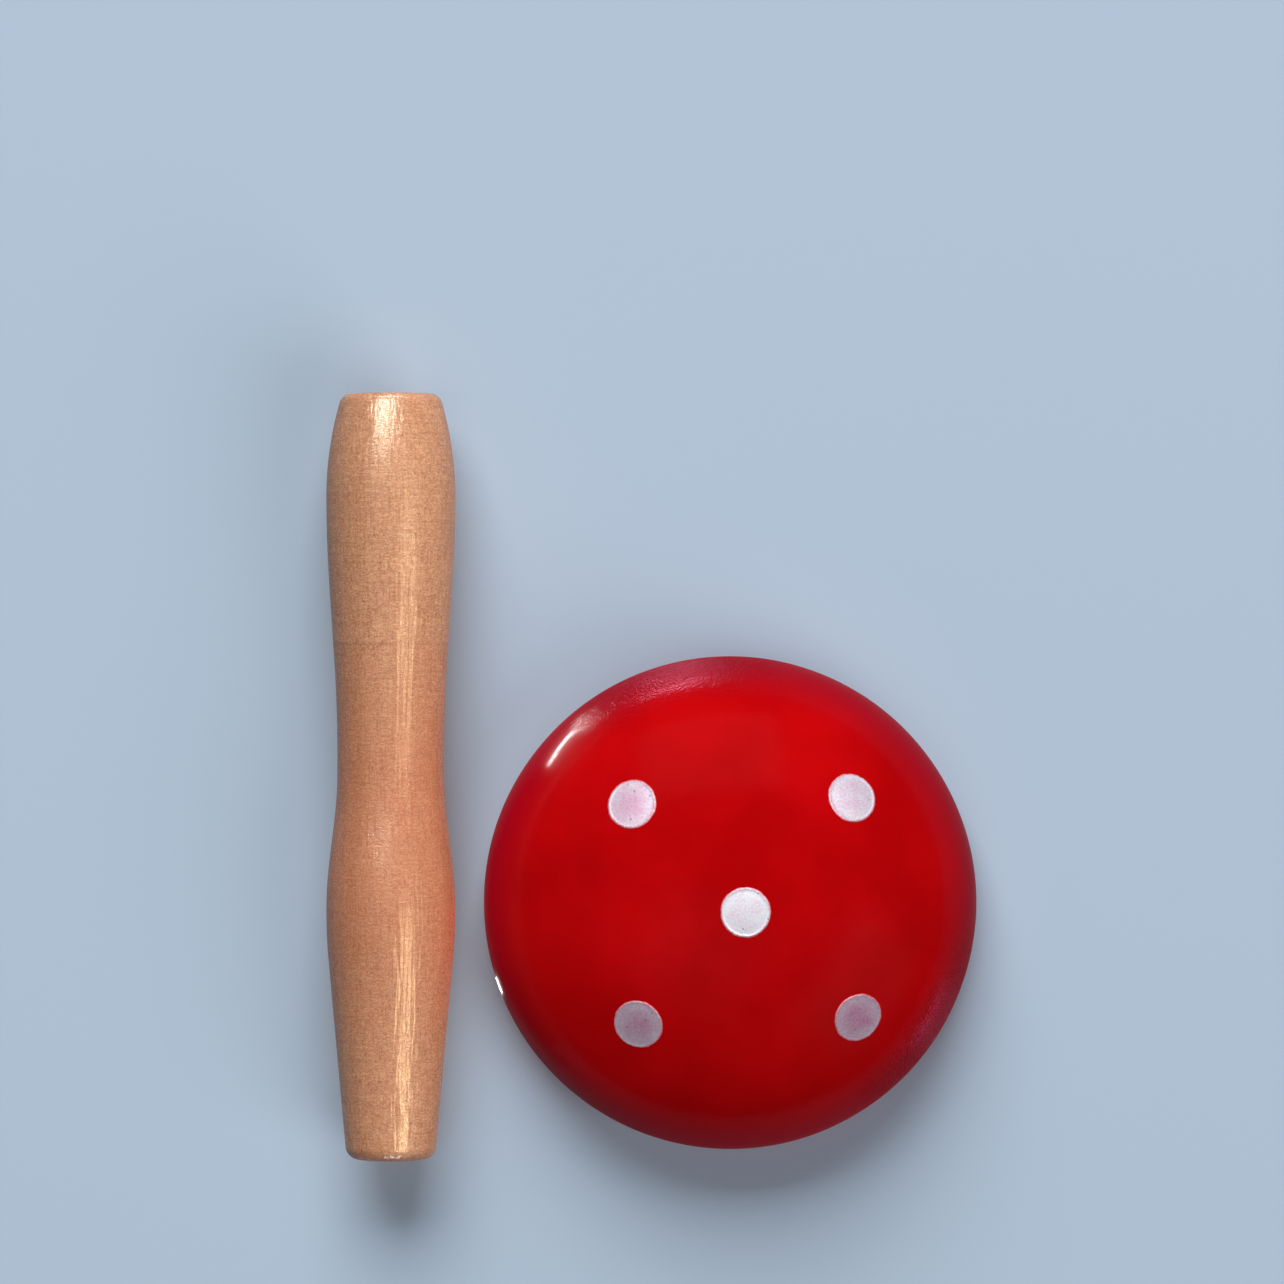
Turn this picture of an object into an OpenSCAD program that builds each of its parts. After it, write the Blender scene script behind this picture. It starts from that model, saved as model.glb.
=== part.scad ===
// Darning mushroom, taken apart: a domed cap with five white spots standing on its flat
// underside, and its turned handle lying beside it. The handle's tapered end wedges into the
// socket drilled in the cap's underside. Millimetres, +Z up. The origin is the centre of the
// socket's mouth, on the surface that both pieces rest on.

/* [Cap] */
// Diameter of the cap at its widest line
cap_d = 56; // [44:1:80]
// Height of the dome above the widest line
dome_h = 16.5; // [12:0.5:30]
// Radius that rounds the cap below its widest line, down to the flat underside
edge_r = 4; // [2:0.5:8]

/* [Spots] */
// Diameter of each white spot
spot_d = 5.7; // [3:0.1:9]
// Side of the square whose corners hold the four outer spots
spot_pitch = 24.6; // [16:0.1:28]
// How far the stamped pattern sits to the right of the cap's axis
spot_shift = 1.5; // [0:0.1:3]
// How far it sits in front of the cap's axis
spot_drop = 0.4; // [0:0.1:3]
// Turn of the pattern about the cap's axis, in degrees
spot_turn = 1.6; // [-45:0.1:45]
// Thickness of the paint of a spot
paint_t = 0.2; // [0.15:0.05:0.5]

/* [Handle] */
// Length of the handle
handle_len = 86.5; // [80:0.5:130]
// Diameter of the grip end's flat end, before its corner is rounded
grip_end_d = 11; // [8:0.1:13]
// Diameter of the swell near the grip end
grip_d = 14.6; // [14:0.1:20]
// Distance from the grip end to the crest of that swell
grip_crest = 11.6; // [8:0.1:20]
// Diameter of the waist between the two swells
waist_d = 12.1; // [9:0.1:13]
// Length of the waist's straight stretch
waist_len = 2.5; // [1:0.5:10]
// Length of the slope that rises from the waist to the swell near the plug end
waist_rise = 15.6; // [10:0.1:20]
// Diameter of the swell near the plug end
swell_d = 14.6; // [14:0.1:20]
// Radius of the grip end's rounded corner
grip_round = 0.9; // [0.3:0.1:2]

/* [Plug] */
// Diameter that the plug's taper would have at its very end, were the corner sharp
plug_tip_d = 10; // [8:0.1:12]
// Angle of the plug's side to its axis, in degrees
plug_taper = 5.2; // [3.5:0.1:7]
// Distance from the swell's crest to where its level meets the line of the taper
shoulder_len = 2.9; // [1:0.1:5]
// Radius of the plug end's rounded corner
plug_round = 1.3; // [0.3:0.1:2]

/* [Socket] */
// How deep the plug goes in before its taper wedges
plug_depth = 8.5; // [5:0.5:10]
// Room left beyond the wedged plug, to the bottom of the socket
socket_spare = 2.5; // [1:0.5:4]
// Diameter of the mark that the drill's centre point leaves at the bottom
spur_d = 1.6; // [1:0.1:3]
// Depth of that mark
spur_h = 0.8; // [0.3:0.1:2]

/* [Layout] */
// Clear space between the lying handle and the cap
lay_gap = 3.1; // [2:0.1:30]
// How far the handle's middle lies behind the cap's axis
lay_back = 14.4; // [-30:0.1:30]

/* [Hidden] */
$fn = 96;
// each spot's name, and the signs of its corner of the square
SPOTS = [
    ["spot_centre", 0, 0],
    ["spot_back_left", -1, 1],
    ["spot_back_right", 1, 1],
    ["spot_front_left", -1, -1],
    ["spot_front_right", 1, -1],
];

cap_r = cap_d / 2;
dome_steps = 40; // straight steps that follow the dome's quarter ellipse
edge_steps = 10; // and those that follow the rounded edge below it
past = 1; // how far the socket's cut runs out below the underside
stamp_h = 4; // height of the stamp that cuts a spot's round patch, dome and paint within it
// the plug's taper line reaches the swell's level this far from the tip
taper_len = (swell_d - plug_tip_d) / 2 / tan(plug_taper);
swell_crest = handle_len - taper_len - shoulder_len;
waist_to = swell_crest - waist_rise;
waist_from = waist_to - waist_len;
// radius of the arc that leaves the crest level and runs into the taper line
shoulder_r = shoulder_len / tan(plug_taper / 2);
shoulder_to = swell_crest + shoulder_r * sin(plug_taper);
// radius of the arc from the grip's end to its crest, level at the crest
grip_drop = (grip_d - grip_end_d) / 2;
grip_arc_r = (pow(grip_crest, 2) + pow(grip_drop, 2)) / (2 * grip_drop);
// the socket is as wide as the plug is at the depth where it wedges
socket_d = plug_tip_d + 2 * plug_depth * tan(plug_taper);
socket_depth = plug_depth + socket_spare;
// the handle rests on both swells, and the one near the plug end lies nearest to the cap
handle_x = -(cap_r + lay_gap + swell_d / 2);
handle_lean = asin((grip_d - swell_d) / 2 / (swell_crest - grip_crest));

// ---- cap ----

// a point of the dome's outline at an angle up from the widest line, raised off it by t
function dome_point(a, t = 0) =
    let (n = [cos(a) / cap_r, sin(a) / dome_h])
    [cap_r * cos(a), edge_r + dome_h * sin(a)] + t * n / norm(n);

// the height of the dome at a distance r from the axis
function dome_z(r) = edge_r + dome_h * sqrt(1 - pow(r / cap_r, 2));

// the lean of the dome's face from level, at a distance r from the axis
function dome_lean(r) = atan(dome_h * r / (pow(cap_r, 2) * sqrt(1 - pow(r / cap_r, 2))));

dome_outline = [for (i = [0:dome_steps]) dome_point(90 * i / dome_steps)];
edge_outline = [
    for (i = [0:edge_steps - 1])
        let (a = 90 * i / edge_steps)
        [cap_r - edge_r + edge_r * sin(a), edge_r - edge_r * cos(a)]
];

module cap() {
    color("#B5070E") difference() {
        rotate_extrude() polygon(concat([[0, 0]], edge_outline, dome_outline));
        socket();
    }
}

// the blind drilled hole, with the mark of the drill's centre point at its bottom
module socket() {
    rotate_extrude() polygon([
        [0, -past],
        [socket_d / 2, -past],
        [socket_d / 2, socket_depth],
        [spur_d / 2, socket_depth],
        [0, socket_depth + spur_h],
    ]);
}

// ---- spots ----

// the centre of a spot in plan, from the signs of its corner
function spot_xy(sx, sy) =
    let (c = cos(spot_turn), s = sin(spot_turn), h = spot_pitch / 2)
    [spot_shift + h * (sx * c - sy * s), h * (sx * s + sy * c) - spot_drop];

// a coat of paint over the whole dome, seated on the dome's own outline
module paint_coat() {
    coat_outline = [for (i = [dome_steps:-1:0]) dome_point(90 * i / dome_steps, paint_t)];
    rotate_extrude() polygon(concat(dome_outline, coat_outline));
}

// the round patch of that coat that lies under a stamp square to the dome
module spot(sx, sy) {
    p = spot_xy(sx, sy);
    r = norm(p);
    color("#EDEBF3") intersection() {
        paint_coat();
        translate([p.x, p.y, dome_z(r)])
            rotate([0, dome_lean(r), atan2(p.y, p.x)])
                cylinder(d = spot_d, h = stamp_h, center = true);
    }
}

// ---- handle ----

// distances from the grip's end run along s, from 0 to handle_len

// a smooth step from 0 to 1, level at both ends
function ease(t) = (1 - cos(180 * t)) / 2;

// the radius that the side has at s, before the corners are rounded
function side_r(s) =
    s < grip_crest ? grip_d / 2 - grip_arc_r + sqrt(pow(grip_arc_r, 2) - pow(grip_crest - s, 2)) :
    s < waist_from ? grip_d / 2
        - (grip_d - waist_d) / 2 * ease((s - grip_crest) / (waist_from - grip_crest)) :
    s < waist_to ? waist_d / 2 :
    s < swell_crest ? waist_d / 2 + (swell_d - waist_d) / 2 * ease((s - waist_to) / waist_rise) :
    s < shoulder_to ? swell_d / 2 - shoulder_r
        + sqrt(pow(shoulder_r, 2) - pow(s - swell_crest, 2)) :
    plug_tip_d / 2 + (handle_len - s) * tan(plug_taper);

// what a corner rounded to the radius c takes off the side, at a distance d from the end
function corner(d, c) = d < c ? c - sqrt(pow(c, 2) - pow(c - d, 2)) : 0;

function handle_r(s) =
    side_r(s) - corner(s, grip_round) - corner(handle_len - s, plug_round);

corner_steps = 6;
body_steps = 64;
handle_stations = concat(
    [for (i = [0:corner_steps - 1]) grip_round * (1 - cos(90 * i / corner_steps))],
    [for (i = [0:body_steps])
        grip_round + (handle_len - grip_round - plug_round) * i / body_steps],
    [for (i = [corner_steps - 1:-1:0])
        handle_len - plug_round * (1 - cos(90 * i / corner_steps))]
);

// turned in one piece, and laid down along Y with its grip end to the back
module handle() {
    outline = [for (s = handle_stations) [handle_r(s), s]];
    color("#C98F68")
        translate([handle_x, lay_back + handle_len / 2 - grip_crest, grip_d / 2])
            rotate([90 + handle_lean, 0, 0])
                translate([0, 0, -grip_crest])
                    rotate_extrude() polygon(concat([[0, 0]], outline, [[0, handle_len]]));
}

cap();
handle();
for (s = SPOTS) spot(s[1], s[2]);
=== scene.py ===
# %% [markdown]
# # A darning mushroom, taken apart
# The object is a mending tool in two turned wooden pieces. The domed cap is sprayed red and
# stamped with five white spots. The handle is beech under clear lacquer, and its slim end wedges
# into a socket in the cap's underside.
#
# The lesson has three parts. The first makes every piece as a surface worked out with numpy, the
# second gives each one the finish that its maker gave it, and the third sets up the studio: a
# table, lamps and a camera. Blender works in metres, so a length in millimetres is always written
# with `* MM`.

import bpy
import numpy as np
from mathutils import Matrix


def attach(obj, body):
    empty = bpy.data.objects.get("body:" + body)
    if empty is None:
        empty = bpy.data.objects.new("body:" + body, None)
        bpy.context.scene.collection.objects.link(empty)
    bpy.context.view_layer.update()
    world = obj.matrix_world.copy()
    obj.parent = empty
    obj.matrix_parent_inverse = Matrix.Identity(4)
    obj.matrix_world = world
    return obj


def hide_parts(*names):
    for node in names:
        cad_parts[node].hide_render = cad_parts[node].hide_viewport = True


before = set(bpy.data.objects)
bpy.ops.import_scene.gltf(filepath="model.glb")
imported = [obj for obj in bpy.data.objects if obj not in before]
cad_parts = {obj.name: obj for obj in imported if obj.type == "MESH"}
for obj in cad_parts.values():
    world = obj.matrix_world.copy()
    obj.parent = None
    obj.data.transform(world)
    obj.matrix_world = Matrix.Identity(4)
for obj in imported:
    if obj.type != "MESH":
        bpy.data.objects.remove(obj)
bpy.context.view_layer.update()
MM = 0.001

# %% [markdown]
# ## The object's own sizes
# The solids were drawn from a few sizes, and the surfaces here follow the same ones. Keeping
# them in one place means that a surface and the solid that it stands for can't drift apart.

# %% Sizes of the cap, the spots and the handle
cap_r, dome_h, edge_r = 28 * MM, 16.5 * MM, 4 * MM
spot_r, spot_pitch, spot_turn = 2.85 * MM, 24.6 * MM, np.radians(1.6)
spot_shift, spot_drop = 1.5 * MM, 0.4 * MM
handle_len, grip_r, grip_end_r, grip_crest = 86.5 * MM, 7.3 * MM, 5.5 * MM, 11.6 * MM
waist_r, waist_len, waist_rise, swell_r = 6.05 * MM, 2.5 * MM, 15.6 * MM, 7.3 * MM
tip_r, taper, shoulder_len = 5 * MM, np.radians(5.2), 2.9 * MM
grip_round, tip_round = 0.9 * MM, 1.3 * MM
wedge_depth, socket_depth = 8.5 * MM, 11 * MM
spur_r, spur_h = 0.8 * MM, 0.8 * MM
lay_gap, lay_back = 3.1 * MM, 14.4 * MM

socket_r = tip_r + wedge_depth * np.tan(taper)
handle_x = -(cap_r + lay_gap + swell_r)
grip_end_y = lay_back + handle_len / 2
print("socket radius", round(socket_r / MM, 3), "mm, handle axis at x", round(handle_x / MM, 1))

# %% [markdown]
# ## One way to build all seven pieces
# Everything on this object is round: the cap and the handle come off a lathe, and a spot is a
# round patch. Blender's Screw modifier or Spin could turn an outline, but they leave a seam and a
# pinched pole to mend. Here a piece is an array of rings instead. Each ring is closed on itself,
# and one point closes each end, so there is no seam and no hole from the start.


# %% A closed surface from rings of points
def close_rings(name, rings, first, last):
    """A mesh from an array of rings, each a loop of as many points. Four points, two on a ring
    and two on the next, make a face, the last step of a ring meets its first step again, and a
    fan of triangles joins the first ring to one point and the last ring to another."""
    count, steps, _ = rings.shape
    step = np.arange(steps)
    after = (step + 1) % steps
    low = np.arange(count - 1)[:, None] * steps
    sides = np.stack([low + step, low + steps + step, low + steps + after, low + after], -1)
    end = (count - 1) * steps
    tip, tail = np.full(steps, count * steps), np.full(steps, count * steps + 1)
    fans = [np.stack([tip, step, after], -1), np.stack([tail, end + after, end + step], -1)]
    points = np.concatenate([rings.reshape(-1, 3), [first], [last]])
    faces = sides.reshape(-1, 4).tolist() + fans[0].tolist() + fans[1].tolist()
    mesh = bpy.data.meshes.new(name)
    mesh.from_pydata(points.tolist(), [], faces)
    mesh.shade_smooth()
    piece = bpy.data.objects.new(name, mesh)
    bpy.context.collection.objects.link(piece)
    print(name, "has", len(points), "points and", len(faces), "faces")
    return piece


# %% Angles once around, and a soft uneven ripple
def around(steps):
    """So many angles, evenly spaced, once around a circle."""
    return np.arange(steps) * 2 * np.pi / steps


def ripple(angle, along, waves, seed):
    """A soft unevenness between about -1 and 1. It adds up cosines of whole numbers of waves
    around the turning and of some waves along it, each with its own phase, and divides the sum
    by the square root of their number."""
    rng = np.random.default_rng(seed)
    total = np.zeros(np.broadcast(angle, along).shape)
    for whole, per_metre in waves:
        total += np.cos(whole * angle + per_metre * 2 * np.pi * along + rng.uniform(0, 6.283))
    return total / np.sqrt(len(waves))


sample = ripple(around(360), 0, [(2, 0), (3, 0), (5, 0)], 1)
print("a ripple of three waves runs from", sample.min().round(2), "to", sample.max().round(2))

# %% [markdown]
# ## The cap
# The cap is turned on a lathe, bored for the handle, sanded and sprayed while it sits on a
# spindle. Its outline is one line from the top of the dome to the bottom of the bore: a quarter
# ellipse, a quarter circle that rolls under, the flat underside, a softened mouth, the bore's
# wall, and its bottom with the dimple of the drill's centre point. Because the line goes inside,
# the bore is real depth and not a dark disc.


# %% Two ways to draw a stretch of an outline
def arc(centre, radius, start, stop, steps):
    """Points on a circle about a centre (r, z), from one angle to another in degrees: the centre
    plus the radius times cosine and sine of the angle."""
    a = np.radians(np.linspace(start, stop, steps))
    return np.stack([centre[0] + radius * np.cos(a), centre[1] + radius * np.sin(a)], -1)


def straight(a, b, steps):
    """Evenly spaced points from a to b, both left out."""
    t = np.linspace(0, 1, steps + 2)[1:-1, None]
    return np.array(a) * (1 - t) + np.array(b) * t


print("a quarter circle in three points:", arc((0, 0), 1, 0, 90, 3).round(3).tolist())

# %% The cap's outline, from the top of the dome to the bottom of the bore
slope = np.radians(np.linspace(89.3, 0, 84))
dome = np.stack([cap_r * np.cos(slope), edge_r + dome_h * np.sin(slope)], -1)
roll = arc((cap_r - edge_r, edge_r), edge_r, 0, -90, 14)[1:]
mouth_round, foot_round = 0.45 * MM, 0.3 * MM
mouth = arc((socket_r + mouth_round, mouth_round), mouth_round, -90, -180, 7)
foot = arc((socket_r - foot_round, socket_depth - foot_round), foot_round, 0, 90, 5)
spur_edge, spur_tip = (spur_r, socket_depth), (0, socket_depth + spur_h)
under = straight(roll[-1], mouth[0], 22)
wall = straight(mouth[-1], foot[0], 26)
bottom = straight(foot[-1], spur_edge, 10)
dimple = straight(spur_edge, spur_tip, 3)
outline = np.concatenate([dome, roll, under, mouth, wall, foot, bottom, [spur_edge], dimple])
bore_from = len(dome) + len(roll) + len(under) + len(mouth)
print("cap outline of", len(outline), "points, the bore from point", bore_from)

# %% [markdown]
# A turned and hand-sanded cap is never a perfect ellipsoid. A ripple of a few hundredths of a
# millimetre is too small to see as shape, but it bends the reflections in the gloss, which is how
# the eye tells lacquered wood from a moulded piece. It fades out at the pole and stays off the
# bore, which a drill made.

# %% The cap's surface
cap_steps = 256
turn = around(cap_steps)[None, :]
r, z = outline[:, :1], outline[:, 1:]
out_r, out_z = np.gradient(outline[:, 0]), np.gradient(outline[:, 1])
length = np.hypot(out_r, out_z)
lift_r, lift_z = (-out_z / length)[:, None], (out_r / length)[:, None]
sanding = [(2, 0), (3, 30), (5, -22), (7, 45), (4, 60), (9, -35), (1, 80)]
sanded = (np.arange(len(r)) < bore_from)[:, None] * (z > 1 * MM)
deepest, fade_r = 0.03 * MM, 9 * MM
fade = np.clip(r / fade_r, 0, 1) * sanded
push = -deepest * fade * (1 + ripple(turn, np.hypot(r, z), sanding, seed=4)) / 2
ring_r, ring_z = r + push * lift_r, z + push * lift_z
rings = np.stack([ring_r * np.cos(turn), ring_r * np.sin(turn), ring_z + 0 * turn], -1)
cap = close_rings("red_cap", rings, (0, 0, edge_r + dome_h), (0, *spur_tip))

# %% [markdown]
# ## The five spots
# Each spot is white paint, stamped by a soft round pad. The pad presses the paint outwards, so
# it is thinnest in the middle and stands up in a low lip at its rim, where it rounds over to the
# red. A flat disc would cut through the dome or float above it. So every point of the stamp is
# sent straight in along the pad's own direction until it meets the dome, and the paint's
# thickness is laid on from there. No two prints came out alike, so each carries its own thinness,
# which the finish reads later. The two front spots carry the most, which makes them darker and
# pinker: partly their print, and partly painted shade for spots that turn away from the light.


# %% Where the stamp meets the dome
def meet_dome(points, inward):
    """Where lines from points along a direction meet the dome. With heights counted from the
    widest line and every axis divided by the dome's half-size along it, the dome is a ball of
    radius 1, and the distance is the nearer root of a quadratic."""
    half = np.array([cap_r, cap_r, dome_h])
    p, d = (points - [0, 0, edge_r]) / half, inward / half
    b, c, q = (p * d).sum(-1), (p * p).sum(-1) - 1, (d * d).sum()
    return points + ((-b - np.sqrt(b * b - q * c)) / q)[..., None] * inward


def dome_normal(points):
    """The direction straight out of the dome: each coordinate divided by the square of the
    dome's half-size along it, and the result scaled to length 1."""
    n = (points - [0, 0, edge_r]) / np.array([cap_r, cap_r, dome_h]) ** 2
    return n / np.linalg.norm(n, axis=-1, keepdims=True)


def pad_over(sx, sy):
    """The pad over the corner sx, sy of the pattern's square: the point of the dome straight
    under that corner, the pad's axis, which stands square to the dome there, and two directions
    across the pad."""
    c, s, h = np.cos(spot_turn), np.sin(spot_turn), spot_pitch / 2
    above = np.array([spot_shift + h * (sx * c - sy * s), h * (sx * s + sy * c) - spot_drop, 1])
    centre = meet_dome(above, np.array([0, 0, -1.0]))
    axis = dome_normal(centre)
    side = np.cross([0, 1, 0], axis)
    side /= np.linalg.norm(side)
    return centre, axis, side, np.cross(axis, side)


lean = np.degrees(np.arccos(pad_over(1, 1)[1][2]))
print("the pad over an outer spot leans", round(lean, 1), "degrees")

# %% [markdown]
# A print's profile says how far out each of its rings lies, as a share of the radius, and how
# high over the dome. The paint is 0.05 mm thick, with a lip of 0.03 mm, and falls to nothing
# along a quarter circle at the rim. The back lies a little inside the dome, so that no light
# gets in between.

# %% The profile of a print
full_coat, lip_height, sunk = 0.05, 0.03, 0.04
lip_at, lip_width = 0.93, 0.04
rim_out = 1 - 0.1 * np.cos(np.linspace(0.15, 1.57, 8)) ** 2
face = np.concatenate([np.linspace(0.05, 0.9, 16), rim_out])
back = np.linspace(0.97, 0.06, 9)
lip = lip_height * np.exp(-(((face - lip_at) / lip_width) ** 2))
round_off = np.sqrt(np.clip(1 - np.clip((face - lip_at) / (1 - lip_at), 0, 1) ** 2, 0, 1))
out = np.concatenate([face, back])[:, None]
height = np.concatenate([(full_coat + lip) * round_off, np.full(len(back), -sunk)])[:, None] * MM
print("a print is", round(float(height.max() / MM), 3), "mm high at its lip")


# %% One spot
def paint_spot(name, sx, sy, seed):
    """A stamped spot at the corner sx, sy of the pattern's square. Its points lie on rings about
    the pad's axis, from the middle of the face over the lip to the middle of the back, which
    lies a little inside the dome. The rim's radius wavers by a few hundredths of a millimetre.
    The map stamp_mm holds each point's place on the pad, in millimetres."""
    centre, axis, side, up = pad_over(sx, sy)
    turn = around(96)[None, :]
    waves = [(3, 0), (5, 0), (8, 0), (13, 0), (21, 0)]
    waver = 1 - 0.012 * (1 + ripple(turn, 0 * turn, waves, seed))
    rho = np.minimum(spot_r * out * (1 - (1 - waver) * out**4), spot_r)
    across = np.cos(turn)[..., None] * side + np.sin(turn)[..., None] * up
    skin = meet_dome(centre + 3 * MM * axis + rho[..., None] * across, -axis)
    rings = skin + (height + 0 * turn)[..., None] * dome_normal(skin)
    ends = centre + full_coat * MM * axis, centre - sunk * MM * axis
    spot = close_rings(name, rings, *ends)

    reach = np.append((rho / MM + 0 * turn).ravel(), [0, 0])
    angle = np.append((turn + 0 * rho).ravel(), [0, 0])
    stamp = np.stack([reach * np.cos(angle), reach * np.sin(angle)], -1)
    corners = np.empty(len(spot.data.loops), int)
    spot.data.loops.foreach_get("vertex_index", corners)
    uv = spot.data.uv_layers.new(name="stamp_mm")
    uv.data.foreach_set("uv", stamp[corners].ravel())
    return spot


# %% All five with their thinness, 0 for a full coat to 1 for none, the front two partly painted shade
prints = {
    "spot_centre": (0, 0, 0.10),
    "spot_back_left": (-1, 1, 0.45),
    "spot_back_right": (1, 1, 0.28),
    "spot_front_left": (-1, -1, 0.52),
    "spot_front_right": (1, -1, 0.62),
}
first_seed = 20
spots = {}
for i, (node, (sx, sy, thinness_and_shade)) in enumerate(prints.items()):
    spot = spots[node] = paint_spot("painted_" + node, sx, sy, first_seed + i)
    thinness_and_shade_values = spot.data.attributes.new("thinness_and_shade", "FLOAT", "POINT")
    thinness_and_shade_values.data.foreach_set("value", np.full(len(spot.data.vertices), thinness_and_shade, np.float32))

# %% [markdown]
# ## The handle
# The handle is one beech stick, turned with two swells that fit the fingers and a straight taper
# for the socket. Its side is drawn as a radius that depends on the distance from the grip end,
# which is how a turner thinks of it: template distances and caliper widths. The surface is that
# radius carried round the axis, with the tiny ridges that a gouge and coarse paper leave.


# %% The side of the handle
def ease(t):
    """A smooth step from 0 to 1: half of one minus the cosine of half a turn times t."""
    return (1 - np.cos(np.pi * np.clip(t, 0, 1))) / 2


def side_radius(s):
    """The handle's radius at distances s from its grip end, before the corners are rounded: a
    circle's arc up to the grip's crest, an eased slope down to the waist, the waist, an eased
    slope up to the swell, an arc over the shoulder, and a straight taper to the tip."""
    crest = handle_len - (swell_r - tip_r) / np.tan(taper) - shoulder_len
    waist_to, drop = crest - waist_rise, grip_r - grip_end_r
    waist_from = waist_to - waist_len
    grip_arc = (grip_crest**2 + drop**2) / (2 * drop)
    shoulder_arc = shoulder_len / np.tan(taper / 2)
    parts = [
        grip_r - grip_arc + np.sqrt(grip_arc**2 - np.minimum(grip_crest - s, grip_arc) ** 2),
        grip_r - (grip_r - waist_r) * ease((s - grip_crest) / (waist_from - grip_crest)),
        waist_r + (swell_r - waist_r) * ease((s - waist_to) / waist_rise),
        swell_r - shoulder_arc + np.sqrt(np.maximum(shoulder_arc**2 - (s - crest) ** 2, 0)),
    ]
    taper_line = tip_r + (handle_len - s) * np.tan(taper)
    ends = [grip_crest, waist_to, crest, crest + shoulder_arc * np.sin(taper)]
    return np.select([s < end for end in ends], parts, taper_line)


def corner_cut(distance, radius):
    """What a corner rounded to a radius takes off the side at a distance from the end: the
    radius minus the height of its quarter circle there, and nothing further in."""
    inside = np.clip(radius - distance, 0, radius)
    return radius - np.sqrt(radius**2 - inside**2)


at = np.array([0, 20, 40, 60, 80])
print("widths at", at, "mm:", (2 * side_radius(at * MM) / MM).round(2))

# %% The handle's outline, from the middle of the grip end to the middle of the tip
quarter = np.linspace(0, np.pi / 2, 9)
s = np.concatenate(
    [
        grip_round * (1 - np.cos(quarter)),
        np.linspace(grip_round, handle_len - tip_round, 380)[1:-1],
        handle_len - tip_round * (1 - np.cos(quarter[::-1])),
    ]
)
radius = side_radius(s) - corner_cut(s, grip_round) - corner_cut(handle_len - s, tip_round)
disc_rings = 12
grip_disc = np.linspace(0.08, 0.97, disc_rings) * radius[0]
tip_disc = np.linspace(0.97, 0.08, disc_rings) * radius[-1]
radius = np.concatenate([grip_disc, radius, tip_disc])[:, None]
s = np.concatenate([np.zeros(disc_rings), s, np.full(disc_rings, handle_len)])[:, None]
print("handle outline of", len(s), "points, widest", round(2 * radius.max() / MM, 2), "mm")

# %% [markdown]
# The ridges of turning are nearly rings, a few thousandths of a millimetre high and half a
# millimetre to a millimetre apart, and no two alike. They catch light across the handle. The
# faint ridge a third of the way down is where the tool was lifted and set in again. The two end
# faces are hollowed by a twentieth of a millimetre, as a parting tool leaves them.

# %% The handle's surface
turn = around(112)[None, :]
ridges = [(0, 1100), (1, 1700), (0, 620), (1, 890), (2, 250), (3, 90), (0, 2100)]
tool_ring, ring_h, ring_w = 28 * MM, 0.022 * MM, 0.3 * MM
cut_depth, dished, dish_r = 0.004 * MM, 0.05 * MM, 4.6 * MM
ridge = ring_h * np.exp(-(((s - tool_ring) / ring_w) ** 2))
on_side = np.clip(s / (1.5 * MM), 0, 1) * np.clip((handle_len - s) / (2 * MM), 0, 1)
cut = cut_depth * (1 + ripple(turn, s, ridges, seed=11)) * on_side
dish = dished * (1 - np.clip(radius / dish_r, 0, 1) ** 2) * (on_side == 0)
around_r = radius - cut + ridge
rings = np.stack(
    [
        handle_x + around_r * np.sin(turn),
        grip_end_y - s + np.where(s == 0, -dish, dish) + 0 * turn,
        swell_r + around_r * np.cos(turn),
    ],
    -1,
)
grip_middle = (handle_x, grip_end_y - dished, swell_r)
tip_middle = (handle_x, grip_end_y - handle_len + dished, swell_r)
handle = close_rings("beech_handle", rings, grip_middle, tip_middle)

# %% [markdown]
# ## Helpers for the finishes
# A hex colour is written as the eye sees it, while a shader reckons with light, so one function
# turns the first into the second. Another adds a node with its settings and links. A pattern's
# scale is worked out from a real size: a texture repeats once per unit at scale 1, and the unit
# is a metre.
#
# Where several inputs of a node share a name, they are told apart by their number. In Map Range
# 0 is the value, 1 and 2 are the ends of the range that comes in, and 3 and 4 those of the range
# that goes out, from 0 to 1 if they aren't given. In Mix 0 is the share, and 6 and 7 are the two
# colours.


# %% Colours, nodes and scales
def paint(hex_code):
    """The linear colour of an sRGB hex value: a channel up to 0.04045 is divided by 12.92, and
    above it 0.055 is added, the sum divided by 1.055 and raised to the power 2.4."""
    c = np.array([int(hex_code[i : i + 2], 16) for i in (1, 3, 5)]) / 255
    return (*np.where(c <= 0.04045, c / 12.92, ((c + 0.055) / 1.055) ** 2.4), 1.0)


def add(tree, kind, inputs=None, **settings):
    """Adds a node to a tree with its settings. An input is given as another node's output, which
    is linked, or as a value, which is set on the socket."""
    node = tree.nodes.new("ShaderNode" + kind)
    for key, value in settings.items():
        setattr(node, key, value)
    for key, value in (inputs or {}).items():
        if isinstance(value, bpy.types.NodeSocket):
            tree.links.new(value, node.inputs[key])
        else:
            node.inputs[key].default_value = value
    return node


def per(size_mm):
    """The texture scale at which a pattern's features measure so many millimetres."""
    return 1 / (size_mm * MM)


def start_finish(name):
    """A new material with nothing in it but its output and a Principled shader."""
    material = bpy.data.materials.new(name)
    material.use_nodes = True
    tree = material.node_tree
    tree.nodes.clear()
    shader = add(tree, "BsdfPrincipled")
    add(tree, "OutputMaterial", {"Surface": shader.outputs["BSDF"]})
    return material, tree, shader, add(tree, "TexCoord").outputs["Object"]


print("#B20307 as light:", [round(float(c), 4) for c in paint("#B20307")[:3]])
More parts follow.
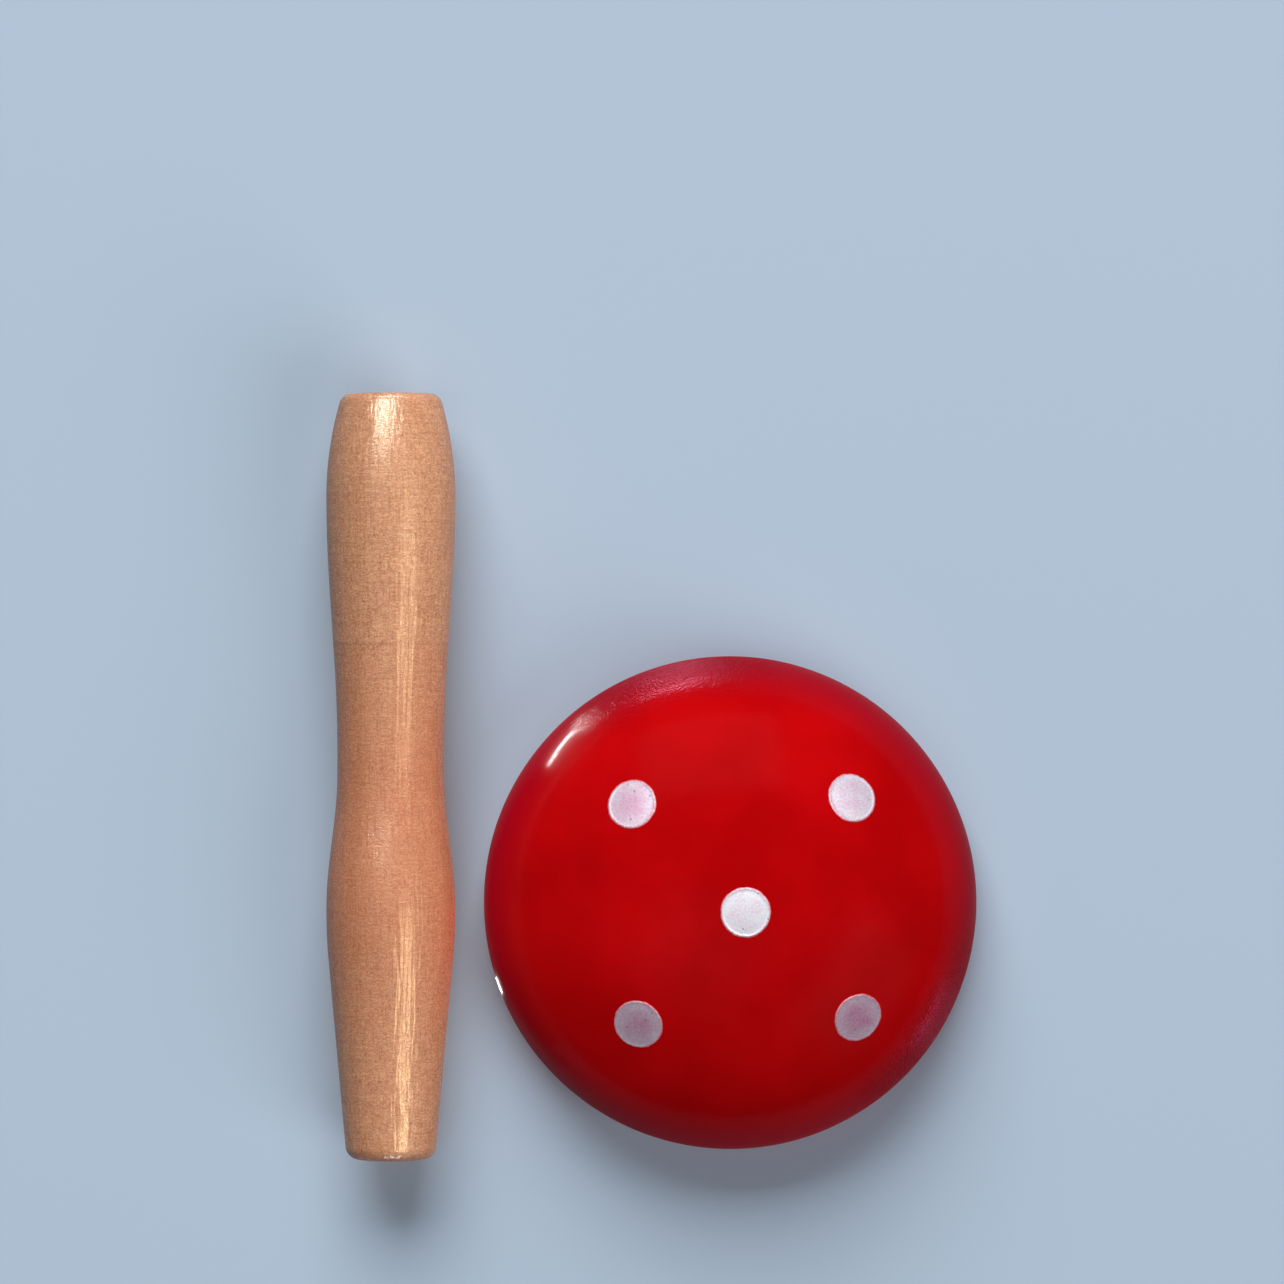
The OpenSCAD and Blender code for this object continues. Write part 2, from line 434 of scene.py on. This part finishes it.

# %% [markdown]
# ## Red gloss lacquer
# The cap has two or three sprayed coats of pigmented nitrocellulose lacquer, rubbed down between
# coats. The last coat flowed out smooth, with the faintest orange peel. On two sides of the rim
# the spray came from too far away and arrived half dry. The surface is sandy there, so a lamp's
# reflection breaks up into grains. Under the cap the coat is thin and the turning shows through.
# The colour is a strong red, cloudy by a few parts in a hundred. Towards the rim it is painted a
# darker purple red, which is painted shade and a painted purple reflection.

# %% Red gloss lacquer: colour
red, tree, shader, here = start_finish("red_gloss_lacquer")
parts = add(tree, "SeparateXYZ", {"Vector": here})
mottle = add(tree, "TexNoise", {"Vector": here, "Scale": per(13), "Detail": 3.0})
soft = add(tree, "MapRange", {0: mottle.outputs["Fac"], 1: 0.35, 2: 0.65})
body_red = add(
    tree, "Mix", {0: soft.outputs[0], 6: paint("#B20307"), 7: paint("#C5060B")}, data_type="RGBA"
)
low = add(
    tree, "MapRange", {0: parts.outputs["Z"], 1: 14 * MM, 2: 7.5 * MM},
    interpolation_type="SMOOTHSTEP",
)
# Below 14 mm the red goes to a darker purple: painted shade and a painted reflection at the rim.
rim_shade_and_reflection = add(
    tree, "Mix", {0: low.outputs[0], 6: body_red.outputs[2], 7: paint("#A8021C")}, data_type="RGBA"
)
tree.links.new(rim_shade_and_reflection.outputs[2], shader.inputs["Base Color"])
print("red gloss lacquer coloured")

# %% [markdown]
# The two half-dry sides are told by direction. A point's direction from the axis, as an arrow of
# length 1, is compared with the direction of each side by a dot product, which is 1 where they
# agree and falls off as they turn apart. The sand begins 13 mm above the table and is full below
# 10 mm. Its grains are really under a tenth of a millimetre, and are drawn three times as coarse
# so that they show.

# %% Red gloss lacquer: where it arrived half dry
flat = add(tree, "VectorMath", {0: here, 1: (1, 1, 0)}, operation="MULTIPLY")
outward = add(tree, "VectorMath", {0: flat.outputs[0]}, operation="NORMALIZE")
far = []
for angle in np.radians([103, -32]):
    to_side = (np.cos(angle), np.sin(angle), 0)
    toward = add(tree, "VectorMath", {0: outward.outputs[0], 1: to_side}, operation="DOT_PRODUCT")
    far.append(add(tree, "MapRange", {0: toward.outputs["Value"], 1: 0.86, 2: 0.985}).outputs[0])
sides = add(tree, "Math", {0: far[0], 1: far[1]}, operation="MAXIMUM")
band = add(tree, "MapRange", {0: parts.outputs["Z"], 1: 13.2 * MM, 2: 9.8 * MM})
half_dry = add(tree, "Math", {0: band.outputs[0], 1: sides.outputs[0]}, operation="MULTIPLY")
grit = {"Vector": here, "Scale": per(0.30), "Detail": 2.0, "Roughness": 0.6}
sandy = add(tree, "TexNoise", grit)
dry = add(tree, "Math", {0: sandy.outputs["Fac"], 1: half_dry.outputs[0]}, operation="MULTIPLY")
print("sandy at", len(far), "sides of the rim")

# %% Red gloss lacquer: peel, specks and the turning under the cap
peel = add(tree, "TexNoise", {"Vector": here, "Scale": per(1.3), "Detail": 1.0})
nibs = add(tree, "TexVoronoi", {"Vector": here, "Scale": per(3.2)})
nib = add(tree, "MapRange", {0: nibs.outputs["Distance"], 1: 0.05, 2: 0.0, 3: 0.0, 4: 1.0})
from_axis = add(tree, "VectorMath", {0: flat.outputs[0]}, operation="LENGTH")
along_radius = {"W": from_axis.outputs["Value"], "Scale": per(0.7), "Detail": 2.0}
lathe = add(tree, "TexNoise", along_radius, noise_dimensions="1D")
below = add(tree, "MapRange", {0: parts.outputs["Z"], 1: 0.6 * MM, 2: 0.1 * MM})
turned = add(tree, "Math", {0: lathe.outputs["Fac"], 1: below.outputs[0]}, operation="MULTIPLY")
relief = [
    (peel.outputs["Fac"], 0.012 * MM),
    (nib.outputs[0], 0.02 * MM),
    (dry.outputs[0], 0.45 * MM),
    (turned.outputs[0], 0.02 * MM),
]
under_it = {}
for height_of, deep in relief:
    bump = add(tree, "Bump", {"Height": height_of, "Distance": deep, **under_it}).outputs[0]
    under_it = {"Normal": bump}
tree.links.new(bump, shader.inputs["Normal"])
tree.links.new(bump, shader.inputs["Coat Normal"])
print("bumps laid over each other:", len(relief))

# %% [markdown]
# The shine comes from the shader's coat, which is the clear skin of the lacquer. The pigment
# below it hardly shines by itself, so its IOR is set near 1. The coat is given a low weight,
# because a full one would mirror the pale table all round the rim.

# %% Red gloss lacquer: gloss
gloss = add(tree, "MapRange", {0: low.outputs[0], 3: 0.30, 4: 0.48})
tree.links.new(gloss.outputs[0], shader.inputs["Roughness"])
shader.inputs["IOR"].default_value = 1.05
shader.inputs["Coat Weight"].default_value = 0.12
shader.inputs["Coat Roughness"].default_value = 0.17
shader.inputs["Coat IOR"].default_value = 1.5
print("red gloss lacquer:", len(tree.nodes), "nodes")

# %% [markdown]
# ## Bare beech in the socket
# The spindle that held the cap kept the spray out of the bore, so the wood there is raw: pale,
# matt, with the close rings that a drill leaves. At the mouth some red ran in, with an uneven
# edge.

# %% Bare drilled beech: colour
raw, tree, shader, here = start_finish("bare_drilled_beech")
parts = add(tree, "SeparateXYZ", {"Vector": here})
grain = add(tree, "Mapping", {"Vector": here, "Scale": (1, 0.12, 1)})
hairy = {"Vector": grain.outputs[0], "Scale": per(0.5), "Detail": 4.0, "Roughness": 0.6}
fibres = add(tree, "TexNoise", hairy)
wood = add(
    tree, "Mix", {0: fibres.outputs["Fac"], 6: paint("#C49A6E"), 7: paint("#E2C29A")},
    data_type="RGBA",
)
run = add(tree, "TexNoise", {"Vector": here, "Scale": per(2.4), "Detail": 3.0})
run_depth = add(tree, "MapRange", {0: run.outputs["Fac"], 1: 0.3, 2: 0.7, 3: 0.3 * MM, 4: 1.9 * MM})
ran_in = add(tree, "Math", {0: parts.outputs["Z"], 1: run_depth.outputs[0]}, operation="LESS_THAN")
mouth_colour = add(
    tree, "Mix", {0: ran_in.outputs[0], 6: wood.outputs[2], 7: paint("#A8080C")}, data_type="RGBA"
)
tree.links.new(mouth_colour.outputs[2], shader.inputs["Base Color"])
print("bare drilled beech coloured")

# %% Bare drilled beech: surface
down_bore = {"W": parts.outputs["Z"], "Scale": per(0.3), "Detail": 1.0}
drill = add(tree, "TexNoise", down_bore, noise_dimensions="1D")
drilled = add(tree, "Bump", {"Height": drill.outputs["Fac"], "Distance": 0.04 * MM})
rough = {"Height": fibres.outputs["Fac"], "Distance": 0.05 * MM, "Normal": drilled.outputs[0]}
tree.links.new(add(tree, "Bump", rough).outputs[0], shader.inputs["Normal"])
matt = add(tree, "MapRange", {0: ran_in.outputs[0], 3: 0.72, 4: 0.3})
tree.links.new(matt.outputs[0], shader.inputs["Roughness"])
print("bare drilled beech:", len(tree.nodes), "nodes")

# %% [markdown]
# ## Stamped pearl-white paint
# The spots are one thin coat of white with a little pearl in it, put on by a pad. The pearl
# makes them shine silky where they face the light and go grey where they turn away from it. Red
# shows through where the coat is thinnest: a pinkish middle with a fine speckle, and a pink line
# at the rim. How much it shows differs from print to print, and on the two front spots the extra
# pink is partly painted shade. A few specks of dust stuck in the paint while it was wet. The
# speckle is really about a tenth of a millimetre, and is drawn twice as coarse so that it shows.
# The pattern reads the spot's own stamp map and its thinness, so that one material serves all
# five.

# %% Pearl-white paint: how thin it is
white, tree, shader, here = start_finish("stamped_pearl_white_paint")
stamp = add(tree, "UVMap", uv_map="stamp_mm")
reach = add(tree, "VectorMath", {0: stamp.outputs[0]}, operation="LENGTH")
fine = {"Vector": here, "Scale": per(0.26), "Detail": 2.0, "Roughness": 0.7}
speckle = add(tree, "TexNoise", fine)
clouds = add(tree, "TexNoise", {"Vector": here, "Scale": per(1.7), "Detail": 2.0})
# Each print's thinness; on the two front spots it is partly painted shade.
own = add(tree, "Attribute", attribute_name="thinness_and_shade")
middle = add(
    tree, "MapRange", {0: reach.outputs["Value"], 1: 2.5, 2: 0.6, 3: 0.72, 4: 1.3},
    interpolation_type="SMOOTHSTEP",
)
uneven = add(tree, "MapRange", {0: clouds.outputs["Fac"], 1: 0.3, 2: 0.7, 3: -0.1, 4: 0.1})
grainy = add(tree, "MapRange", {0: speckle.outputs["Fac"], 1: 0.36, 2: 0.64, 3: -0.16, 4: 0.16})
two = add(tree, "Math", {0: uneven.outputs[0], 1: grainy.outputs[0]}, operation="ADD")
thin_and_shaded = add(
    tree, "Math", {0: own.outputs["Fac"], 1: middle.outputs[0], 2: two.outputs[0]},
    operation="MULTIPLY_ADD", use_clamp=True,
)
print("paint thinness from the stamp map and two noises")

# %% Pearl-white paint: colour and shine
coat = add(
    tree, "Mix", {0: thin_and_shaded.outputs[0], 6: paint("#EFF0F8"), 7: paint("#DC84B4")}, data_type="RGBA"
)
frayed = add(
    tree, "Math", {0: speckle.outputs["Fac"], 1: 0.3, 2: reach.outputs["Value"]},
    operation="MULTIPLY_ADD",
)
rim = add(tree, "MapRange", {0: frayed.outputs[0], 1: 2.7, 2: 2.95, 3: 0.0, 4: 0.9})
rimmed = add(
    tree, "Mix", {0: rim.outputs[0], 6: coat.outputs[2], 7: paint("#E4606F")}, data_type="RGBA"
)
dust = add(tree, "TexVoronoi", {"Vector": here, "Scale": per(1.2)})
speck = add(tree, "MapRange", {0: dust.outputs["Distance"], 1: 0.12, 2: 0.06, 3: 0.0, 4: 0.75})
dusty = add(
    tree, "Mix", {0: speck.outputs[0], 6: rimmed.outputs[2], 7: paint("#7F7280")}, data_type="RGBA"
)
tree.links.new(dusty.outputs[2], shader.inputs["Base Color"])
bump_paint = add(tree, "Bump", {"Height": speckle.outputs["Fac"], "Distance": 0.01 * MM})
tree.links.new(bump_paint.outputs[0], shader.inputs["Normal"])
pearl = add(tree, "MapRange", {0: rim.outputs[0], 3: 0.55, 4: 0.1})
tree.links.new(pearl.outputs[0], shader.inputs["Metallic"])
shader.inputs["Roughness"].default_value = 0.52
print("stamped pearl-white paint:", len(tree.nodes), "nodes")

# %% [markdown]
# ## Lacquered beech
# Beech is a pinkish-tan wood. Its growth rings are faint, its pores too fine to see one by one,
# and its mark is the ray fleck: short darker dashes along the grain on flat-cut faces. Turning
# adds fine ticks across the handle. A thin clear lacquer turns the wood a warm orange and gives
# it a satin shine, which the fibres under it break into lengthwise golden lines. From the ring
# line to the slim end the wood is painted deeper and redder, partly for a lacquer that lies a
# little thicker there and partly as painted shade.
#
# Wood is a solid, so its pattern is best worked out in space and not wrapped on. The rings are
# cylinders round the tree's heart, which lay some way outside this stick and not quite parallel
# to it. Cutting the handle's shape out of them gives straight lines on one side, long ovals over
# the swells on another, and arcs on the ends, all without a join.

# %% Lacquered beech: growth rings
beech, tree, shader, here = start_finish("clear_lacquered_beech")
lean = np.radians([1.2, 0, -0.9])
heart = add(tree, "Mapping", {"Vector": here, "Location": (0.072, 0, 0.055), "Rotation": lean})
wander = add(tree, "Mapping", {"Vector": here, "Scale": (1, 0.1, 1)})
wave = add(tree, "TexNoise", {"Vector": wander.outputs[0], "Scale": per(7), "Detail": 2.0})
across = add(tree, "VectorMath", {0: heart.outputs[0], 1: (1, 0, 1)}, operation="MULTIPLY")
from_heart = add(tree, "VectorMath", {0: across.outputs[0]}, operation="LENGTH")
warped = add(
    tree, "Math", {0: wave.outputs["Fac"], 1: 2.2 * MM, 2: from_heart.outputs["Value"]},
    operation="MULTIPLY_ADD",
)
years = add(tree, "Math", {0: warped.outputs[0], 1: per(1.9)}, operation="MULTIPLY")
year = add(tree, "Math", {0: years.outputs[0]}, operation="FRACT")
late = add(
    tree, "MapRange", {0: year.outputs[0], 1: 0.35, 2: 0.95}, interpolation_type="SMOOTHSTEP"
)
print("growth rings 1.9 mm apart")

# %% [markdown]
# The other marks are noises, stretched by a Mapping node. The handle lies along Y, so a small
# scale on Y draws a noise out into fibres, pores or ray flecks, and small scales on X and Z draw
# it out round the stick, into the rings and ticks of turning. Real pores are about 0.05 mm wide
# and are drawn four times as coarse, so that they show.

# %% Lacquered beech: fibres, pores, rays and turning marks
marks = {  # the stretch on X, Y and Z, the grain in millimetres, its detail and roughness
    "pore": ((1, 0.14, 1), 0.2, 1.0, 0.5),
    "ray": ((1, 0.4, 1), 0.3, 1.0, 0.5),
    "fibre": ((1, 0.04, 1), 0.24, 2.0, 0.7),
    "strand": ((1, 0.04, 1), 0.45, 1.0, 0.5),
    "broad": ((1, 0.1, 1), 4, 2.0, 0.5),
    "tick": ((0.4, 1, 0.4), 0.2, 2.0, 0.7),
    "turned": ((0.06, 1, 0.06), 0.4, 3.0, 0.75),
    "mealy": ((1, 1, 1), 0.17, 2.0, 0.8),
    "blotch": ((1, 1, 1), 1.4, 2.0, 0.5),
}
mark = {}
for name, (stretch, grain_mm, detail, roughness) in marks.items():
    drawn = add(tree, "Mapping", {"Vector": here, "Scale": stretch}).outputs[0]
    noise = {"Vector": drawn, "Scale": per(grain_mm), "Detail": detail, "Roughness": roughness}
    mark[name] = add(tree, "TexNoise", noise).outputs["Fac"]
print("laid out:", ", ".join(mark))

# %% [markdown]
# Along the handle two things change. Just past the ring line a band a fifth of a millimetre
# wide, with soft edges, is painted darker: painted shade on the lower side of the ridge. Past it
# the wood is painted deeper and redder, little at first, most by the middle of the handle and
# less again on the plug, partly for a lacquer that lies thicker there and partly as painted shade.

# %% Lacquered beech: the ring line's painted shade, and the deeper lacquer with painted shade
along = add(tree, "SeparateXYZ", {"Vector": here}).outputs["Y"]
ring_y = grip_end_y - tool_ring
# The band just past the ring is painted shade, the dark side of the ridge.
from_ring = add(tree, "Math", {0: along, 1: ring_y - 0.25 * MM}, operation="SUBTRACT")
near_ring = add(tree, "Math", {0: from_ring.outputs[0]}, operation="ABSOLUTE")
ring_shade_band = add(tree, "MapRange", {0: near_ring.outputs[0], 1: 0.35 * MM, 2: 0.1 * MM})
past_ring = add(tree, "MapRange", {0: along, 1: ring_y - 0.1 * MM, 2: ring_y - 0.5 * MM})
# Past the ring the wood is painted deeper and redder, most by the middle of the handle: partly
# thicker lacquer, partly painted shade.
deepen = add(
    tree, "MapRange", {0: along, 1: grip_end_y - 26 * MM, 2: grip_end_y - 46 * MM, 3: 0.22, 4: 1.0},
    interpolation_type="SMOOTHSTEP",
)
fades_on_plug = add(
    tree, "MapRange", {0: along, 1: grip_end_y - 56 * MM, 2: grip_end_y - 80 * MM, 3: 1.0, 4: 0.2},
    interpolation_type="SMOOTHSTEP",
)
deep = add(tree, "Math", {0: deepen.outputs[0], 1: fades_on_plug.outputs[0]}, operation="MULTIPLY")
deeper_and_shaded = add(tree, "Math", {0: deep.outputs[0], 1: past_ring.outputs[0]}, operation="MULTIPLY")
print("ring line", round(tool_ring / MM), "mm from the grip end")

# %% Lacquered beech: dark and pale layers
layers = [  # a pattern, the value where its colour starts, where it is full, its share and itself
    (late.outputs[0], 0, 1, 0.12, "#B06C48"),
    (mark["blotch"], 0.4, 0.66, 0.24, "#B87450"),
    (mark["fibre"], 0.5, 0.7, 0.34, "#9C5E3E"),
    (mark["pore"], 0.54, 0.72, 0.24, "#94583C"),
    (mark["ray"], 0.6, 0.72, 0.32, "#84452C"),
    (mark["mealy"], 0.45, 0.7, 0.44, "#A05C3C"),
    (mark["mealy"], 0.5, 0.3, 0.42, "#FAD4A8"),
    (mark["tick"], 0.5, 0.72, 0.40, "#FAD4A8"),
    (mark["tick"], 0.46, 0.3, 0.32, "#9C5C3C"),
    (mark["turned"], 0.45, 0.65, 0.22, "#A86844"),
    # painted shade just past the ring's ridge
    (ring_shade_band.outputs[0], 0, 1, 0.12, "#8E5034"),
    # thicker lacquer and painted shade past the ring
    (deeper_and_shaded.outputs[0], 0, 1, 0.38, "#BE6141"),
]
two_tans = {0: mark["broad"], 6: paint("#D8926C"), 7: paint("#EAAD85")}
wood = add(tree, "Mix", two_tans, data_type="RGBA").outputs[2]
for pattern, start, full, most, hex_code in layers:
    share = add(tree, "MapRange", {0: pattern, 1: start, 2: full, 3: 0.0, 4: most}).outputs[0]
    wood = add(tree, "Mix", {0: share, 6: wood, 7: paint(hex_code)}, data_type="RGBA").outputs[2]
tree.links.new(wood, shader.inputs["Base Color"])
print("lacquered beech coloured in", len(layers), "layers")

# %% [markdown]
# The wood's surface and the lacquer's are bumped apart. The fibres are fine in the wood, while
# the lacquer lies over them in broader strands, and these draw the long golden lines in a shine.

# %% Lacquered beech: surface
ticked = add(tree, "Bump", {"Height": mark["tick"], "Distance": 0.03 * MM}).outputs[0]
in_wood = {"Height": mark["fibre"], "Distance": 0.03 * MM, "Normal": ticked}
in_lacquer = {"Height": mark["strand"], "Distance": 0.10 * MM, "Normal": ticked}
tree.links.new(add(tree, "Bump", in_wood).outputs[0], shader.inputs["Normal"])
tree.links.new(add(tree, "Bump", in_lacquer).outputs[0], shader.inputs["Coat Normal"])
sheen = add(tree, "MapRange", {0: mark["mealy"], 1: 0.3, 2: 0.7, 3: 0.36, 4: 0.5})
tree.links.new(sheen.outputs[0], shader.inputs["Roughness"])
shader.inputs["IOR"].default_value = 1.05
shader.inputs["Coat Weight"].default_value = 0.5
shader.inputs["Coat Roughness"].default_value = 0.25
shader.inputs["Coat IOR"].default_value = 1.6
print("lacquered beech:", len(tree.nodes), "nodes")

# %% [markdown]
# ## Dressing the pieces
# Each piece takes its finish, hides the solid that it stands for, and rides on the body that
# carries that solid, so that the handle can be lifted off on its own. The cap has two finishes, and
# a face's number picks one of them: the faces from the mouth inwards are bare wood, and so is the
# fan that closes the dimple, which comes last in the mesh.

# %% The cap and its spots
cap.data.materials.append(red)
cap.data.materials.append(raw)
face_number = np.arange(len(cap.data.polygons))
ring_of_face = face_number // cap_steps
is_bore = (ring_of_face >= bore_from - 2) & (ring_of_face < len(outline) - 1)
is_bore |= face_number >= len(face_number) - cap_steps
cap.data.polygons.foreach_set("material_index", is_bore.astype(np.int32))
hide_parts("cap")
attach(cap, "cap_piece")
for node, spot in spots.items():
    spot.data.materials.append(white)
    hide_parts(node)
    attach(spot, "cap_piece")
print(int(is_bore.sum()), "of", len(is_bore), "faces of the cap are bare wood")

# %% The handle
handle.data.materials.append(beech)
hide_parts("handle")
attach(handle, "handle_piece")
print("handle dressed")

# %% [markdown]
# ## The studio
# The table is a plain pale blue-grey board. The camera and every reflection see it pale. The
# light that it throws back at the object is that of a dark cloth, so that the shade under the
# object keeps its depth. It vanishes when it is looked at from below, so that the underside of
# the cap can be studied.

# %% The table
table_mesh = bpy.data.meshes.new("table")
half, z = 8, -0.02 * MM
corners = [(-half, -half, z), (half, -half, z), (half, half, z), (-half, half, z)]
table_mesh.from_pydata(corners, [], [(0, 1, 2, 3)])
table = bpy.data.objects.new("table", table_mesh)
bpy.context.collection.objects.link(table)
print("table laid", 2 * half, "m wide")

# %% The table's board
pale_blue = paint("#B6C8DB")
board = bpy.data.materials.new("pale_board")
board.use_nodes = True
tree = board.node_tree
tree.nodes.clear()
shown = add(tree, "BsdfDiffuse", {"Color": pale_blue}).outputs[0]
cloth = add(tree, "BsdfDiffuse", {"Color": paint("#463C38")}).outputs[0]
clear = add(tree, "BsdfTransparent").outputs[0]
lights_object = add(tree, "LightPath").outputs["Is Diffuse Ray"]
from_below = add(tree, "NewGeometry").outputs["Backfacing"]
top_side = add(tree, "MixShader", {0: lights_object, 1: shown, 2: cloth}).outputs[0]
one_sided = add(tree, "MixShader", {0: from_below, 1: top_side, 2: clear}).outputs[0]
add(tree, "OutputMaterial", {"Surface": one_sided})
table_mesh.materials.append(board)
print("board:", len(tree.nodes), "nodes")

# %% [markdown]
# The lamps are soft boxes. A lamp's power is worked out from the light that it should give: a
# white sheet that faces a lamp from a distance shows the level 1 when the power is pi squared
# times the distance squared. The levels on the cap's crown add up to about 1, so a colour
# renders about as it is written. The handle has a main lamp of its own, a little further round
# to its right, because the light reaches the low stick and the tall dome from different sides.


# %% A soft box, and a lamp for some pieces only
def area_lamp(name, size, energy):
    """A rectangular lamp of a size in metres and a power in watts."""
    data = bpy.data.lights.new(name, "AREA")
    data.shape = "RECTANGLE"
    data.size, data.size_y = size
    data.energy = energy
    lamp = bpy.data.objects.new(name, data)
    bpy.context.collection.objects.link(lamp)
    print(name, "of", round(float(energy), 3), "W")
    return lamp


def soft_box(name, azimuth, tilt, level, size, distance=2.4):
    """A large lamp that stands in a direction given by its azimuth, counted from +X towards +Y,
    and its tilt from straight up. Its place is the distance times (sine of the tilt times cosine
    and sine of the azimuth, cosine of the tilt), and it faces the origin."""
    az, ti = np.radians([azimuth, tilt])
    lamp = area_lamp(name, size, level * np.pi**2 * distance**2)
    way = np.array([np.sin(ti) * np.cos(az), np.sin(ti) * np.sin(az), np.cos(ti)])
    lamp.location = distance * way
    lamp.rotation_euler = (0, ti, az)
    return lamp


def only_on(lamp, *pieces):
    """Lets a lamp reach these pieces alone, by Blender's light linking, and gives their group."""
    group = bpy.data.collections.new(lamp.name + "_reaches")
    for piece in pieces:
        group.objects.link(piece)
    lamp.light_linking.receiver_collection = group
    return group


# %% The lamps that light
main = soft_box("main_box", 97, 52, 1.18, (1.6, 1.9))
fill = soft_box("fill_box", 325, 55, 0.35, (1.6, 1.6))
top = soft_box("top_box", 240, 20, 0.10, (1.4, 1.4))
handle_main = soft_box("handle_main_box", 86, 50, 1.23, (1.6, 1.9))
for lamp in (main, fill, top, handle_main):
    lamp.visible_glossy = False
only_on(main, cap, table, *spots.values())
handle_alone = only_on(handle_main, handle)

# %% [markdown]
# A shine is the image of a lamp, so its place on the object says where the lamp stands. The
# lamps of the next cells give no light of their own, only their image, and each shows on the
# pieces where the shine is seen. Those for the handle stand behind it, for the grip end, and to
# its right, for the long streak, and two low ones catch the edges of its ends. Warm tints stand
# for lamplight that went through the yellowish lacquer. The one for the spots brings out the
# pearl.


# %% Lamps that only shine: on the handle and the spots
def shine_on(lamp, *pieces, tint="#FFFFFF"):
    """Lets a lamp show as a reflection and not as light, on these pieces alone."""
    lamp.data.color = paint(tint)[:3]
    lamp.visible_diffuse = False
    only_on(lamp, *pieces)


warm, golden = "#FFF6DC", "#FFE6B0"
shine_on(soft_box("pearl_box", 81, 27, 0.80, (1.0, 1.9)), *spots.values())
shine_on(soft_box("grip_box", 107, 38, 2.7, (0.7, 1.5)), handle, tint=warm)
shine_on(soft_box("broad_box", 100, 24, 0.26, (1.3, 1.6)), handle, tint=warm)
shine_on(soft_box("side_box", 325, 35, 0.85, (0.5, 0.95)), handle, tint=golden)
shine_on(soft_box("upper_side_box", 352, 34, 0.20, (1.1, 1.2)), handle, tint=warm)
shine_on(soft_box("back_edge_box", 92, 80, 1.2, (0.5, 1.6)), handle)
shine_on(soft_box("front_edge_box", 275, 80, 0.8, (0.5, 1.2)), handle)

# %% [markdown]
# The cap's shines are short arcs near its rim. A dome turns so fast there that a large lamp far
# away would show as a dot, so each arc is the image of a slim strip that lies low beside the
# cap and faces it. The strips are given by where they stand about the cap's axis. Pink tints
# stand for what the red rim sends back.


# %% Strips beside the cap
def beside(azimuth, radius, height):
    """A point beside the cap, from its azimuth in degrees and its millimetres from the axis and
    above the table."""
    az = np.radians(azimuth)
    return np.array([radius * np.cos(az), radius * np.sin(az), height]) * MM


def strip(name, a, b, width, level, facing):
    """A slim lamp whose middle line runs from a to b and which faces a point. Its local X goes
    from a to b, and its local Z points away from the point, as square to X as it can. Its power
    is its level times pi times its area."""
    middle, long = (a + b) / 2, b - a
    x = long / np.linalg.norm(long)
    z = middle - facing
    z = z - (z @ x) * x
    z /= np.linalg.norm(z)
    size = np.linalg.norm(long), width * MM
    lamp = area_lamp(name, size, level * np.pi * size[0] * size[1])
    axes_and_place = np.stack([x, np.cross(z, x), z, middle], 1)
    lamp.matrix_world = Matrix(np.vstack([axes_and_place, [0, 0, 0, 1]]))
    lamp.visible_camera = False
    return lamp


strips = {  # its two ends, its width in millimetres, its level, what it faces, and its tint
    "streak": ((143, 31, 8.4), (128, 31, 6.6), 0.3, 330, (135, 26, 9), "#FFFFFF"),
    "back_rim": ((111, 33.2, 2.7), (96, 33.2, 2.7), 1.2, 58, (104, 29, 8), "#FFB0DC"),
    "right_rim": ((-38, 33, 2), (-22, 33, 2), 1.6, 10, (-30, 29, 7), "#E070A8"),
    "left_glint": ((198, 29.5, 1), (202, 29.5, 1), 0.7, 70, (200, 27.8, 5), "#FFFFFF"),
}
for name, (a, b, width, level, facing, tint) in strips.items():
    shine_on(strip(name, beside(*a), beside(*b), width, level, beside(*facing)), cap, tint=tint)

# %% [markdown]
# Two lamps stand in for light that the real things would send back. The red cap throws a red
# glow on the side of the handle that lies next to it. A lamp below the table lights the
# underside, and the table isn't among the pieces that stop its light.

# %% The cap's glow, and the light from below
glow = strip("cap_glow", beside(178, 29, 9), beside(208, 29, 9), 5, 0.55, beside(195, 34, 10))
glow.data.color = paint("#FF2A10")[:3]
glow.light_linking.receiver_collection = handle_alone
under = soft_box("under_box", 300, 160, 0.55, (1.8, 1.8))
under.light_linking.blocker_collection = only_on(under, cap, handle, *spots.values())
for lamp in (glow, under):
    lamp.visible_glossy = False

# %% [markdown]
# The air around the table gives a trace of light from everywhere. Only the camera sees it pale,
# like the table, in views that look past the table's edge or up from below it.

# %% The world
world = bpy.data.worlds.new("studio_air")
world.use_nodes = True
tree = world.node_tree
tree.nodes.clear()
dim = add(tree, "Background", {"Color": paint("#D8DCE4"), "Strength": 0.05}).outputs[0]
pale = add(tree, "Background", {"Color": pale_blue, "Strength": 1.0}).outputs[0]
seen = add(tree, "LightPath").outputs["Is Camera Ray"]
air = add(tree, "MixShader", {0: seen, 1: dim, 2: pale}).outputs[0]
add(tree, "OutputWorld", {"Surface": air})
bpy.context.scene.world = world
bpy.context.scene.view_settings.view_transform = "Standard"
print("world:", len(tree.nodes), "nodes")

# %% [markdown]
# ## The camera
# The object is seen from straight above, from 0.7 m away, and the camera looks down without any
# turn. The lens is chosen so that the frame is 146.7 mm wide on the table.

# %% Camera
eye_height, frame_width, sensor = 0.7, 0.14674, 36
camera_data = bpy.data.cameras.new("camera")
camera_data.sensor_width = sensor
camera_data.lens = sensor * eye_height / frame_width
camera_data.clip_start = 0.01
camera = bpy.data.objects.new("camera", camera_data)
camera.location = (-10.0 * MM, 29.6 * MM, eye_height)
bpy.context.collection.objects.link(camera)
bpy.context.scene.camera = camera
print("lens", round(camera_data.lens, 1), "mm")
